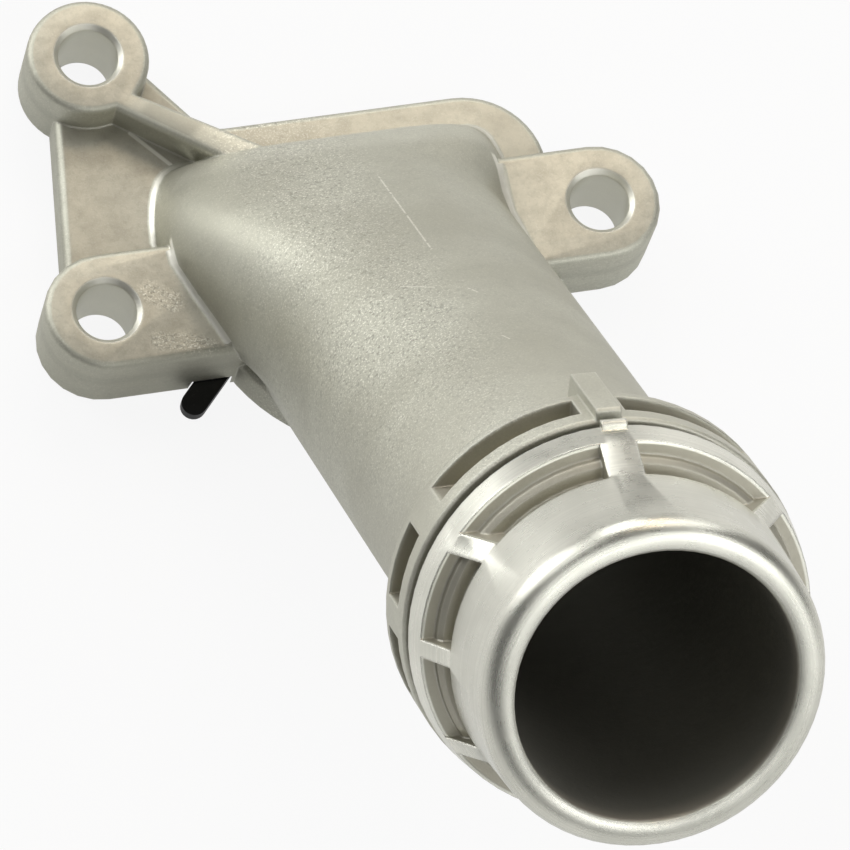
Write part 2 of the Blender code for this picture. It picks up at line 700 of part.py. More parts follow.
def build_casting():
    casting = object_from("pipe_casting", build_pipe_body())
    plate = prism(plate_outline(), -OVERCUT, PLATE_THICKNESS, CAST_EDGE_RADIUS)
    combine(casting, helper_from("flange_plate", plate), "UNION")
    root = PIPE_RADIUS - TAB_ROOT_DEPTH
    left_root = Vector((-root, LEFT_TAB_Y))
    right_root = Vector((root, RIGHT_TAB_Y))
    raised = {
        "left_tab": stadium(left_tab_centre(), left_root, TAB_RADIUS),
        "right_tab": stadium(right_tab_centre(), right_root, TAB_RADIUS),
        "round_boss": boss_outline(),
    }
    for number, (name, outline) in enumerate(raised.items(), 2):
        tab = prism(outline, -OVERCUT * number, TAB_HEIGHT, CAST_EDGE_RADIUS)
        combine(casting, helper_from(name, tab), "UNION")
    add_fillets(casting, "plate", PLATE_THICKNESS, plate_outline())
    add_fillets(casting, "left_tab", TAB_HEIGHT, raised["left_tab"])
    add_fillets(casting, "right_tab", TAB_HEIGHT, raised["right_tab"])
    combine(casting, helper_from("key_lug", build_lug()), "UNION")
    combine(casting, helper_from("key_block", build_key_block()), "UNION")
    combine(casting, helper_from("below_mating_face", build_below_face()), "DIFFERENCE")
    combine(casting, helper_from("waterway", build_waterway()), "DIFFERENCE")
    port_span = [(PORT_RADIUS, -OVERCUT), (PORT_RADIUS, PLATE_THICKNESS + OVERCUT)]
    port = upright_spin(port_span, Vector((0.0, 0.0)))
    combine(casting, helper_from("port", port), "DIFFERENCE")
    half = GROOVE_WIDTH / 2.0
    groove = ring_solid(GROOVE_RADIUS - half, GROOVE_RADIUS + half, groove_section)
    combine(casting, helper_from("gasket_groove", groove), "DIFFERENCE")
    combine(casting, helper_from("tongue_notch", build_tongue_notch()), "DIFFERENCE")
    for number, centre in enumerate((boss_centre(), left_tab_centre(), right_tab_centre()), 1):
        combine(casting, helper_from(f"bolt_hole_{number}", build_bolt_hole(centre)), "DIFFERENCE")
    pockets = build_pockets(ramp_pocket_profile(), KEY_SPOKE_LEFT, KEY_SPOKE_RIGHT, SPOKE_WIDTH)
    combine(casting, helper_from("ramp_pockets", pockets), "DIFFERENCE")
    half_key = WINDOW_KEY_WIDTH / 2.0
    windows = build_pockets(window_profile(), half_key, half_key, WEB_WIDTH)
    combine(casting, helper_from("collar_windows", windows), "DIFFERENCE")
    finish_solid(casting, aluminium())


def build_gasket():
    half = GROOVE_WIDTH / 2.0 - GASKET_CLEARANCE
    ring = ring_solid(GROOVE_RADIUS - half, GROOVE_RADIUS + half, gasket_section)
    gasket = object_from("flange_gasket", ring)
    root, tip = tongue_ends()
    tongue = prism(stadium(root, tip, TONGUE_WIDTH / 2.0), TONGUE_RECESS, TONGUE_RECESS + TONGUE_THICKNESS)
    combine(gasket, helper_from("gasket_tongue", tongue), "UNION")
    finish_solid(gasket, black_rubber())


def main():
    clear_scene()
    build_casting()
    build_gasket()


main()
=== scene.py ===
"""Looks for the coolant pipe: cast and machined aluminium, a black rubber gasket, floor, light and camera."""

import math

import bpy
from mathutils import Matrix, Vector


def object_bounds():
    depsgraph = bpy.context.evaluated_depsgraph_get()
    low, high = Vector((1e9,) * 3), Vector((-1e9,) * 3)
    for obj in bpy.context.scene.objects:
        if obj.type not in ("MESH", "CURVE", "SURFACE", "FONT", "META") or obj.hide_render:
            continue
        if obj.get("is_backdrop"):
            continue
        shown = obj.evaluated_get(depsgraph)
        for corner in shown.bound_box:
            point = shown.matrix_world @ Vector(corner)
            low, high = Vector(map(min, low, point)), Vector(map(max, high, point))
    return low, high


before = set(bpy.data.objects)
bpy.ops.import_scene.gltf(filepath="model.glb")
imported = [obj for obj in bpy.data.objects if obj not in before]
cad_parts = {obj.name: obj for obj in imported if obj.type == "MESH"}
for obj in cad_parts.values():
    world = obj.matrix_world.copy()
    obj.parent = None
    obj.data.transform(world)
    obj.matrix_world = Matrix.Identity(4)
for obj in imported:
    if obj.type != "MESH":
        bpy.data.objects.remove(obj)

MM = 0.001

# The spigot's axis, and distances along it back from the nose face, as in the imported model
PIPE_LEAN = math.radians(45.0)
PIPE_AXIS = Vector((0.0, -math.sin(PIPE_LEAN), math.cos(PIPE_LEAN)))
PIPE_REACH = 119.5 * MM
LAND_END = 12.4 * MM
RAMP_END = 15.9 * MM
FRONT_COLLAR_END = 19.4 * MM
GROOVE_END = 20.6 * MM
REAR_COLLAR_END = 28.4 * MM
REAR_RIM_WIDTH = 1.45 * MM
LAND_RADIUS = 19.4 * MM
FRONT_COLLAR_RADIUS = 21.6 * MM
REAR_COLLAR_RADIUS = 22.3 * MM
BORE_RADIUS = 15.5 * MM
TAB_HEIGHT = 9.5 * MM
TAB_RADIUS = 7.2 * MM
HOLE_RADIUS = 3.5 * MM
PLATE_THICKNESS = 5.0 * MM

# Centres of the three bolt holes, in mm
BOSS_CENTRE = (-29.5, 28.8)
LEFT_TAB_CENTRE = (-33.7, -3.1)
RIGHT_TAB_CENTRE = (26.3, 2.1)

# Marks on the casting, and the plate edge where a line of highlight is painted: the ends of each in mm and
# its half width in mm; the plate edge has ends only
SCRATCHES = [
    ((-1.6, 4.1, 20.6), (-1.5, -12.3, 37.0), 0.15),
    ((-7.0, -18.0, 41.1), (-3.8, -19.8, 44.0), 0.14),
    ((-0.6, -21.2, 45.9), (0.1, -22.3, 47.0), 0.13),
    ((-0.6, -31.4, 56.1), (-0.1, -32.3, 57.0), 0.13),
    ((-16.6, -18.8, 29.4), (-17.5, -25.6, 25.1), 0.13),
]
PITTED_PATCHES = [
    ((-28.4, -1.6, 9.5), (-26.0, -3.2, 9.5), 1.9),
    ((-28.4, -7.8, 9.5), (-22.8, -9.2, 9.5), 1.6),
]
HIGHLIT_PLATE_EDGE = ((-25.7, 20.3, 5.0), (-21.8, 15.7, 5.0))

# Colours of the casting, from its skin to its turned and rubbed metal with painted glints, highlights and
# shade, and of the rubber
CAST_DARK = (0.45, 0.445, 0.37)
CAST_LIGHT = (0.53, 0.53, 0.45)
CAST_MOTTLE = (0.38, 0.37, 0.32)
CAST_HIGHLIGHT = (0.86, 0.855, 0.76)
CAST_PIT_AND_SHADE = (0.23, 0.225, 0.19)
FLAT_DARK = (0.43, 0.405, 0.33)
FLAT_LIGHT = (0.52, 0.493, 0.405)
POCKET_SKIN = (0.43, 0.41, 0.34)
GROOVE_SHADOW = (0.05, 0.048, 0.043)
TURNED_DARK = (0.70, 0.70, 0.62)
TURNED_LIGHT = (0.85, 0.845, 0.755)
TURNED_RING = (0.58, 0.58, 0.515)
WORN_AND_HIGHLIGHT = (0.86, 0.85, 0.77)
BORE_RIM = (0.62, 0.59, 0.51)
BORE_MOUTH = (0.42, 0.41, 0.36)
BORE_DEEP_SHADE = (0.29, 0.285, 0.25)
RUBBER_DARK = (0.006, 0.006, 0.006)
RUBBER_LIGHT = (0.012, 0.012, 0.012)
RUBBER_DUST = (0.12, 0.115, 0.11)

# How strongly the marks, skins and painted light and shade cover what lies under them, where their masks are
# 1
MOTTLE_SHARE = 0.18
COLLAR_LIGHT_SHARE = 0.14
LOW_FLAT_SHADE_SHARE = 0.20
FLAT_PIT_SHARE = 0.5
RIB_HIGHLIGHT_SHARE = 0.14
RECESS_SHADE_SHARE = 0.45
FOOT_SHADE_SHARE = 0.40
POCKET_SHARE = 0.75
HOLE_SHARE = 0.75
RING_SHARE = 0.30
LAND_SHARE = 0.45
WEAR_AND_HIGHLIGHT_SHARE = 0.8
RIM_SHARE = 0.7
SCRATCH_SHARE = 0.55
DUST_SHARE = 0.10

# Noise scales per metre, from the coarsest to the finest, for the casting and then for the rubber
CLOUD_SCALE = 45.0
STAIN_SCALE = 130.0
MOTTLE_SCALE = 420.0
COARSE_SCALE = 2100.0
RING_SCALE = 4200.0
GRAIN_SCALE = 4600.0
RUBBER_CLOUD_SCALE = 300.0
RUBBER_GLOSS_SCALE = 700.0
RUBBER_DUST_SCALE = 1500.0
RUBBER_GRAIN_SCALE = 2500.0

# Gloss and relief
CAST_METALLIC = 0.85
CAST_ROUGHNESS = (0.44, 0.62)
TURNED_ROUGHNESS = (0.22, 0.34)
RING_ROUGHNESS = (-0.04, 0.06)
RUBBER_ROUGHNESS = (0.30, 0.50)
HOLE_SMOOTHNESS = 0.6
RUBBED_AND_HIGHLIT_GLOSS = 0.12
RUBBER_SPECULAR = 0.35
COARSE_RELIEF = 0.9
MOTTLE_RELIEF = 1.4
RING_RELIEF = 0.16
CAST_BUMP = (0.55, 0.05 * MM)
RUBBER_BUMP = (0.25, 0.03 * MM)
EDGE_ROUNDING = 0.40 * MM
HOOD_ROUNDING = 2.5 * MM
NOSE_ROUNDING = 1.5 * MM
ROUNDING_SAMPLES = 4
SMOOTH_ANGLE = math.radians(30.0)
MERGE_DISTANCE = 0.0015 * MM

# Camera: a long lens, looking down on the flange with the spigot's mouth towards it
CAMERA_PLACE = Vector((-0.2262, -0.38569, 0.95015))
CAMERA_RIGHT = Vector((0.96617, -0.20862, 0.15165))
CAMERA_UP = Vector((0.13662, 0.91269, 0.38514))
CAMERA_BACK = Vector((-0.21876, -0.35139, 0.91031))
CAMERA_LENS = 381.18
CAMERA_SENSOR = 36.0
CAMERA_CLIP = (0.05, 20.0)

# Light: softboxes at one distance round the object, by name, azimuth, elevation, size and watts
OBJECT_CENTRE = Vector((0.0, -0.035, 0.04))
SOFTBOX_DISTANCE = 1.0
SOFTBOXES = [
    ("left_back_low", 135.0, 15.0, 0.55, 3.8),
    ("left_back_high", 135.0, 45.0, 0.55, 2.4),
    ("back", 90.0, 30.0, 0.35, 2.5),
    ("right_back_low", 45.0, 15.0, 0.55, 0.7),
    ("right_back_high", 45.0, 45.0, 0.55, 1.9),
    ("right_front_low", 315.0, 15.0, 0.55, 1.2),
    ("right_front_high", 315.0, 45.0, 0.55, 2.6),
    ("front_high", 270.0, 45.0, 0.55, 2.1),
    ("front_low", 284.0, 19.0, 0.40, 0.45),
]
WARM_SOFTBOX = ("warm", 66.0, 48.0, 0.30, 1.35)
WARM_LIGHT = (1.0, 0.80, 0.58)
WHITE_LIGHT = (1.0, 1.0, 1.0)
WORLD_LEVEL = 0.08
WORLD_TO_CAMERA = 1.0
FLOOR_COLOUR = (0.66, 0.66, 0.66, 1.0)
FLOOR_ROUGHNESS = 0.9
FLOOR_HALF_WIDTH = 3.0
FLOOR_GAP = 0.1 * MM
FLOOR_GLOW_TO_CAMERA = 0.90
FLOOR_GLOW_IN_METAL = 0.45


class Graph:
    """Adds nodes to one material and links each as it is made."""

    def __init__(self, name):
        self.material = bpy.data.materials.new(name)
        self.material.use_nodes = True
        self.tree = self.material.node_tree
        self.shader = self.tree.nodes["Principled BSDF"]
        self.output = self.tree.nodes["Material Output"]

    def feed(self, socket, value):
        if isinstance(value, bpy.types.NodeSocket):
            self.tree.links.new(value, socket)
        else:
            socket.default_value = value

    def maths(self, operation, first, second=0.0, clamp=False):
        node = self.tree.nodes.new("ShaderNodeMath")
        node.operation = operation
        node.use_clamp = clamp
        self.feed(node.inputs[0], first)
        self.feed(node.inputs[1], second)
        return node.outputs[0]

    def times(self, first, second):
        """Both of two shares at once."""
        return self.maths("MULTIPLY", first, second)

    def greater(self, first, second):
        """Either of two shares."""
        return self.maths("MAXIMUM", first, second)

    def vector(self, operation, first, second=(0.0, 0.0, 0.0)):
        node = self.tree.nodes.new("ShaderNodeVectorMath")
        node.operation = operation
        self.feed(node.inputs[0], first)
        if operation == "SCALE":
            self.feed(node.inputs["Scale"], second)
        elif operation not in ("LENGTH", "NORMALIZE"):
            self.feed(node.inputs[1], second)
        single = operation in ("DOT_PRODUCT", "LENGTH", "DISTANCE")
        return node.outputs["Value" if single else "Vector"]

    def ramp(self, value, low, high):
        """0 below low, 1 above high, smooth between; low may be the greater."""
        node = self.tree.nodes.new("ShaderNodeMapRange")
        node.interpolation_type = "SMOOTHSTEP"
        self.feed(node.inputs["Value"], value)
        node.inputs["From Min"].default_value = low
        node.inputs["From Max"].default_value = high
        return node.outputs["Result"]

    def scale_range(self, value, low, high):
        """Takes 0 to 1 to low to high."""
        return self.maths("ADD", self.times(value, high - low), low)

    def noise(self, place, scale, detail=2.0, roughness=0.5):
        node = self.tree.nodes.new("ShaderNodeTexNoise")
        self.feed(node.inputs["Vector"], place)
        node.inputs["Scale"].default_value = scale
        node.inputs["Detail"].default_value = detail
        node.inputs["Roughness"].default_value = roughness
        return node.outputs["Fac"]

    def mix(self, share, first, second):
        """A colour between two colours."""
        node = self.tree.nodes.new("ShaderNodeMix")
        node.data_type = "RGBA"
        self.feed(node.inputs["Factor"], share)
        self.feed(node.inputs["A"], first if isinstance(first, bpy.types.NodeSocket) else (*first, 1.0))
        self.feed(node.inputs["B"], second if isinstance(second, bpy.types.NodeSocket) else (*second, 1.0))
        return node.outputs["Result"]

    def tint(self, mask, share, colour, over):
        """A colour laid over another where the mask is 1, at a share of its strength."""
        return self.mix(self.times(mask, share), colour, over)

    def band(self, value, low, high, soft):
        """1 between two values, with soft ends."""
        rise = self.ramp(value, low - soft, low + soft)
        fall = self.ramp(value, high + soft, high - soft)
        return self.times(rise, fall)

    def bump(self, height, strength_and_depth, normal=None):
        """A normal tilted by a height that goes from 0 to 1."""
        strength, distance = strength_and_depth
        node = self.tree.nodes.new("ShaderNodeBump")
        node.inputs["Strength"].default_value = strength
        node.inputs["Distance"].default_value = distance
        self.feed(node.inputs["Height"], height)
        if normal:
            self.feed(node.inputs["Normal"], normal)
        return node.outputs["Normal"]

    def object_place(self):
        return self.tree.nodes.new("ShaderNodeTexCoord").outputs["Object"]

    def face_up(self):
        """How far the surface faces up, from -1 to 1, before any bump."""
        node = self.tree.nodes.new("ShaderNodeNewGeometry")
        return self.vector("DOT_PRODUCT", node.outputs["Normal"], (0.0, 0.0, 1.0))

    def edge_wear_and_highlight(self, radius):
        """0 on flat surfaces and up to 1 near edges, and the normal rounded over them."""
        geometry = self.tree.nodes.new("ShaderNodeNewGeometry")
        bevel = self.tree.nodes.new("ShaderNodeBevel")
        bevel.samples = ROUNDING_SAMPLES
        self.feed(bevel.inputs["Radius"], radius)
        agreement = self.vector("DOT_PRODUCT", bevel.outputs["Normal"], geometry.outputs["Normal"])
        return self.ramp(agreement, 0.995, 0.85), bevel.outputs["Normal"]


def spigot_place(graph, place):
    """Distance back from the nose face, distance from the pipe's axis, and the direction away from it."""
    along = graph.vector("DOT_PRODUCT", place, tuple(PIPE_AXIS))
    on_axis = graph.vector("SCALE", tuple(PIPE_AXIS), along)
    radial = graph.vector("SUBTRACT", place, on_axis)
    back = graph.maths("SUBTRACT", PIPE_REACH, along)
    return back, graph.vector("LENGTH", radial), graph.vector("NORMALIZE", radial)


def machined_mask(graph, back, radius):
    """1 on the turned surfaces: nose, land, tops of the spokes and the front collar."""
    in_length = graph.ramp(back, FRONT_COLLAR_END + 0.2 * MM, FRONT_COLLAR_END)
    slope = (FRONT_COLLAR_RADIUS - LAND_RADIUS) / (RAMP_END - LAND_END)
    past_land = graph.greater(graph.maths("SUBTRACT", back, LAND_END), 0.0)
    rise = graph.maths("ADD", graph.times(past_land, slope), LAND_RADIUS)
    surface = graph.maths("MINIMUM", rise, FRONT_COLLAR_RADIUS)
    on_top = graph.ramp(graph.maths("SUBTRACT", surface, radius), 0.45 * MM, 0.25 * MM)
    before_ramp = graph.ramp(back, LAND_END - 0.35 * MM, LAND_END - 0.45 * MM)
    outside_bore = graph.ramp(radius, BORE_RADIUS + 0.05 * MM, BORE_RADIUS + 0.15 * MM)
    on_land = graph.times(before_ramp, outside_bore)
    return graph.times(in_length, graph.greater(on_top, on_land))


def pocket_mask(graph, back, radius):
    """1 in the pockets of the ramp and the windows of the rear collar."""
    below_front = graph.ramp(radius, FRONT_COLLAR_RADIUS - 0.2 * MM, FRONT_COLLAR_RADIUS - 0.5 * MM)
    in_front = graph.times(below_front, graph.ramp(back, GROOVE_END, GROOVE_END - 0.1 * MM))
    below_rear = graph.ramp(radius, REAR_COLLAR_RADIUS - 0.2 * MM, REAR_COLLAR_RADIUS - 0.5 * MM)
    windows = graph.band(back, GROOVE_END, REAR_COLLAR_END - REAR_RIM_WIDTH, 0.05 * MM)
    in_rear = graph.times(below_rear, windows)
    on_collars = graph.band(back, LAND_END - 0.2 * MM, REAR_COLLAR_END, 0.2 * MM)
    return graph.times(on_collars, graph.greater(in_front, in_rear))


def groove_shadow_mask(graph, back, radius):
    """1 in the groove between the two collars, which is painted dark as shadow."""
    along = graph.band(back, FRONT_COLLAR_END, GROOVE_END, 0.02 * MM)
    below = graph.ramp(radius, FRONT_COLLAR_RADIUS - 0.1 * MM, FRONT_COLLAR_RADIUS - 0.4 * MM)
    return graph.times(along, below)


def bore_mask(graph, back, radius, outward):
    """1 on the inner wall of the pipe, which faces its axis."""
    normal = graph.tree.nodes.new("ShaderNodeNewGeometry").outputs["Normal"]
    inward = graph.ramp(graph.vector("DOT_PRODUCT", normal, outward), -0.2, -0.5)
    inside = graph.ramp(radius, BORE_RADIUS + 0.12 * MM, BORE_RADIUS + 0.04 * MM)
    wall = graph.times(inside, inward)
    return graph.times(wall, graph.ramp(back, 0.25 * MM, 0.6 * MM))


def flat_mask(graph, up, height):
    """1 on the flat tops of the plate, the tabs and the boss."""
    below_hood = graph.ramp(height, TAB_HEIGHT + 0.4 * MM, TAB_HEIGHT + 0.1 * MM)
    return graph.times(graph.ramp(up, 0.97, 0.995), below_hood)


def tab_side(graph, place, right, centre_y):
    """1 within the width of a tab, on its side of the flange."""
    split = graph.tree.nodes.new("ShaderNodeSeparateXYZ")
    graph.feed(split.inputs[0], place)
    reach = TAB_RADIUS + 0.3 * MM
    across = graph.band(split.outputs["Y"], centre_y - reach, centre_y + reach, 0.3 * MM)
    side = graph.ramp(split.outputs["X"], 0.0, 1.0 * MM if right else -1.0 * MM)
    return graph.times(across, side)


def fillet_mask(graph, place, up, height):
    """1 along the foot of the hood, where it meets the plate and the tabs, for a painted highlight."""
    on_plate = graph.band(height, PLATE_THICKNESS + 0.10 * MM, PLATE_THICKNESS + 0.50 * MM, 0.10 * MM)
    on_tabs = graph.band(height, TAB_HEIGHT + 0.10 * MM, TAB_HEIGHT + 0.70 * MM, 0.10 * MM)
    left = tab_side(graph, place, False, LEFT_TAB_CENTRE[1] * MM)
    right = tab_side(graph, place, True, RIGHT_TAB_CENTRE[1] * MM)
    on_tabs = graph.times(on_tabs, graph.greater(left, right))
    sloping = graph.band(up, 0.12, 0.93, 0.05)
    return graph.times(graph.greater(on_plate, on_tabs), sloping)


def segment_distance(graph, place, start, end):
    """Distance from a straight line between two points, given in mm."""
    start, end = Vector(start) * MM, Vector(end) * MM
    run = end - start
    offset = graph.vector("SUBTRACT", place, tuple(start))
    along = graph.vector("DOT_PRODUCT", offset, tuple(run))
    share = graph.maths("DIVIDE", along, run.length_squared, clamp=True)
    nearest = graph.vector("SCALE", tuple(run), share)
    return graph.vector("LENGTH", graph.vector("SUBTRACT", offset, nearest))


def all_scratches(graph, place, grain):
    """1 along the scratches, which are fine and broken up by the grain."""
    total = 0.0
    for start, end, width in SCRATCHES:
        distance = segment_distance(graph, place, start, end)
        line = graph.ramp(distance, width * MM, 0.3 * width * MM)
        total = graph.greater(line, total)
    return graph.times(total, graph.ramp(grain, 0.30, 0.50))


def patch_mask(graph, place):
    """1 in the patches of the left tab where the skin is pitted."""
    total = 0.0
    for start, end, width in PITTED_PATCHES:
        distance = segment_distance(graph, place, start, end)
        total = graph.greater(graph.ramp(distance, width * MM, 0.3 * width * MM), total)
    return total


def recess_masks(graph, place, on_flat):
    """A painted highlight along the plate's edge beside the rib, and painted shade in the hollow between that
    edge and the rib.
    """
    start, end = Vector(HIGHLIT_PLATE_EDGE[0]) * MM, Vector(HIGHLIT_PLATE_EDGE[1]) * MM
    line = graph.ramp(segment_distance(graph, place, *HIGHLIT_PLATE_EDGE), 0.34 * MM, 0.12 * MM)
    run = (end - start).normalized()
    side = Vector((-run.y, run.x, 0.0))
    offset = graph.vector("SUBTRACT", place, tuple(start))
    beyond = graph.ramp(graph.vector("DOT_PRODUCT", offset, tuple(side)), 0.0, 0.25 * MM)
    along = graph.vector("DOT_PRODUCT", offset, tuple(run))
    within = graph.band(along, 0.0, (end - start).length + 0.5 * MM, 0.6 * MM)
    beyond = graph.times(beyond, within)
    return graph.times(line, on_flat), graph.times(beyond, on_flat)


def bolt_hole_masks(graph, place, up):
    """The walls of the bolt holes, and the chamfers round their upper ends."""
    level = graph.vector("MULTIPLY", place, (1.0, 1.0, 0.0))
    nearest = 1.0
    for x, y in (BOSS_CENTRE, LEFT_TAB_CENTRE, RIGHT_TAB_CENTRE):
        distance = graph.vector("DISTANCE", level, (x * MM, y * MM, 0.0))
        nearest = graph.maths("MINIMUM", distance, nearest)
    inside = graph.ramp(nearest, HOLE_RADIUS + 0.10 * MM, HOLE_RADIUS + 0.04 * MM)
    rim = graph.ramp(nearest, HOLE_RADIUS + 0.75 * MM, HOLE_RADIUS + 0.6 * MM)
    wall = graph.times(inside, graph.ramp(up, 0.5, 0.3))
    return wall, graph.times(rim, graph.band(up, 0.35, 0.95, 0.05))


def rib_mask(graph, place, height):
    """1 on top of the rib, between the boss and the hood."""
    split = graph.tree.nodes.new("ShaderNodeSeparateXYZ")
    graph.feed(split.inputs[0], place)
    boss = (BOSS_CENTRE[0] * MM, BOSS_CENTRE[1] * MM, TAB_HEIGHT)
    away = graph.ramp(graph.vector("DISTANCE", place, boss), 6.8 * MM, 9.0 * MM)
    behind = graph.times(graph.ramp(split.outputs["Y"], 10.0 * MM, 12.0 * MM), away)
    return graph.times(behind, graph.ramp(height, 8.4 * MM, 8.9 * MM))


def foot_shade(graph, place, up, height):
    """Painted shade: 1 at the foot of the walls that stand on the plate, and on the plate round the boss."""
    low = graph.band(height, PLATE_THICKNESS, PLATE_THICKNESS + 0.6 * MM, 1.4 * MM)
    wall = graph.times(graph.ramp(up, 0.6, 0.3), low)
    level = (BOSS_CENTRE[0] * MM, BOSS_CENTRE[1] * MM, PLATE_THICKNESS)
    near_boss = graph.ramp(graph.vector("DISTANCE", place, level), 10.6 * MM, 7.4 * MM)
    on_plate = graph.times(near_boss, graph.ramp(up, 0.9, 0.98))
    on_plate = graph.times(on_plate, graph.ramp(height, 6.5 * MM, 6.0 * MM))
    return graph.greater(wall, on_plate)


def cast_skin(graph, place, masks):
    """Colour of the cast surfaces: cloudy grey with fine painted glints in its grain that come and go, and
    painted light and shade in places.
    """
    clouds = graph.ramp(graph.noise(place, CLOUD_SCALE, 2.0, 0.55), 0.3, 0.7)
    # Painted glints: bright specks in the grain
    painted_glints = graph.ramp(masks["grain"], 0.52, 0.68)
    painted_glints = graph.times(painted_glints, graph.scale_range(clouds, 0.45, 0.85))
    painted_glints = graph.times(painted_glints, masks["blast"])
    pits = graph.ramp(masks["coarse"], 0.46, 0.30)
    pits = graph.times(pits, graph.scale_range(clouds, 0.30, 0.55))
    pits = graph.times(pits, masks["blast"])
    blotch = graph.ramp(masks["mottle"], 0.35, 0.7)
    cast = graph.mix(clouds, CAST_DARK, CAST_LIGHT)
    cast = graph.tint(blotch, MOTTLE_SHARE, cast, CAST_MOTTLE)
    cast = graph.mix(painted_glints, cast, CAST_HIGHLIGHT)
    cast = graph.mix(pits, cast, CAST_PIT_AND_SHADE)
    # Painted light: the pipe lighter towards the collar
    collar_light = graph.ramp(masks["back"], 62.0 * MM, 36.0 * MM)
    cast = graph.tint(collar_light, COLLAR_LIGHT_SHARE, cast, CAST_HIGHLIGHT)

    # Flat tops of the flange: warmer and smoother, pitted in places
    rough_patch = graph.scale_range(masks["patch"], 0.25, 1.0)
    flat = graph.mix(blotch, FLAT_LIGHT, FLAT_DARK)
    flat_glints = graph.times(painted_glints, graph.scale_range(masks["patch"], 0.5, 1.1))
    flat = graph.mix(flat_glints, flat, CAST_HIGHLIGHT)
    flat_pits = graph.times(graph.ramp(masks["coarse"], 0.48, 0.34), rough_patch)
    flat = graph.tint(flat_pits, FLAT_PIT_SHARE, flat, CAST_PIT_AND_SHADE)
    # Painted shade on the lower flats, the plate between the tabs and the hood
    flat = graph.tint(masks["low"], LOW_FLAT_SHADE_SHARE, flat, CAST_PIT_AND_SHADE)
    warm_flat = graph.times(masks["flat"], graph.scale_range(masks["rib"], 0.85, 0.15))
    cast = graph.mix(warm_flat, cast, flat)
    # Painted highlight on top of the rib
    cast = graph.tint(masks["rib"], RIB_HIGHLIGHT_SHARE, cast, CAST_HIGHLIGHT)
    # Painted shade in the hollow between the plate's edge and the rib
    cast = graph.tint(masks["recess"], RECESS_SHADE_SHARE, cast, CAST_PIT_AND_SHADE)
    # Painted shade at the foot of the walls and on the plate round the boss
    cast = graph.tint(masks["foot"], FOOT_SHADE_SHARE, cast, CAST_PIT_AND_SHADE)
    cast = graph.tint(masks["pocket"], POCKET_SHARE, cast, POCKET_SKIN)
    cast = graph.tint(masks["hole"], HOLE_SHARE, cast, TURNED_LIGHT)
    # Painted shadow: the groove between the collars is near black
    return graph.mix(masks["groove"], cast, GROOVE_SHADOW)


def turned_skin(graph, place, back, radius):
    """Colour of the turned surfaces, and their fine rings round the axis."""
    ring_place = graph.tree.nodes.new("ShaderNodeCombineXYZ")
    graph.feed(ring_place.inputs[0], back)
    graph.feed(ring_place.inputs[1], radius)
    rings = graph.noise(ring_place.outputs[0], RING_SCALE, 1.0, 0.7)
    stain = graph.ramp(graph.noise(place, STAIN_SCALE, 2.0, 0.6), 0.3, 0.7)
    turned = graph.mix(stain, TURNED_DARK, TURNED_LIGHT)
    turned = graph.tint(graph.ramp(rings, 0.4, 0.62), RING_SHARE, turned, TURNED_RING)
    on_land = graph.ramp(back, LAND_END, LAND_END - 0.6 * MM)
    return graph.tint(on_land, LAND_SHARE, turned, TURNED_RING), rings


def blast_mask(graph, place, back, patch):
    """How strong the grain and its painted glints are: full along the left of the hood and pipe, faint
    elsewhere.
    """
    split = graph.tree.nodes.new("ShaderNodeSeparateXYZ")
    graph.feed(split.inputs[0], place)
    along_left = graph.band(split.outputs["X"], -17.0 * MM, -3.0 * MM, 4.0 * MM)
    fading = graph.ramp(back, 30.0 * MM, 60.0 * MM)
    strength = graph.times(along_left, graph.scale_range(fading, 0.55, 1.0))
    return graph.scale_range(graph.greater(strength, patch), 0.28, 1.0)


def casting_masks(graph, place, back, radius, outward):
    """The shares that say where each kind of skin, mark and painted light or shade lies on the casting, by
    name.
    """
    up = graph.face_up()
    height = graph.vector("DOT_PRODUCT", place, (0.0, 0.0, 1.0))
    masks = {
        "machined": machined_mask(graph, back, radius),
        "pocket": pocket_mask(graph, back, radius),
        "groove": groove_shadow_mask(graph, back, radius),
        "bore": bore_mask(graph, back, radius, outward),
        "flat": flat_mask(graph, up, height),
        "low": graph.ramp(height, 8.6 * MM, 7.4 * MM),
        "fillet": fillet_mask(graph, place, up, height),
        "foot": foot_shade(graph, place, up, height),
        "patch": patch_mask(graph, place),
        "mottle": graph.noise(place, MOTTLE_SCALE, 2.0, 0.6),
        "grain": graph.noise(place, GRAIN_SCALE, 1.0, 0.65),
        "coarse": graph.noise(place, COARSE_SCALE, 1.0, 0.6),
    }
    masks["crease"], masks["recess"] = recess_masks(graph, place, masks["flat"])
    masks["hole"], masks["rim"] = bolt_hole_masks(graph, place, up)
    masks["back"] = back
    masks["blast"] = blast_mask(graph, place, back, masks["patch"])
    masks["rib"] = rib_mask(graph, place, height)
    on_flange = graph.ramp(height, TAB_HEIGHT + 0.5 * MM, TAB_HEIGHT + 0.1 * MM)
    on_collars = graph.ramp(back, REAR_COLLAR_END + 9.0 * MM, REAR_COLLAR_END + 7.0 * MM)
    masks["edged"] = graph.greater(on_flange, on_collars)
    return masks


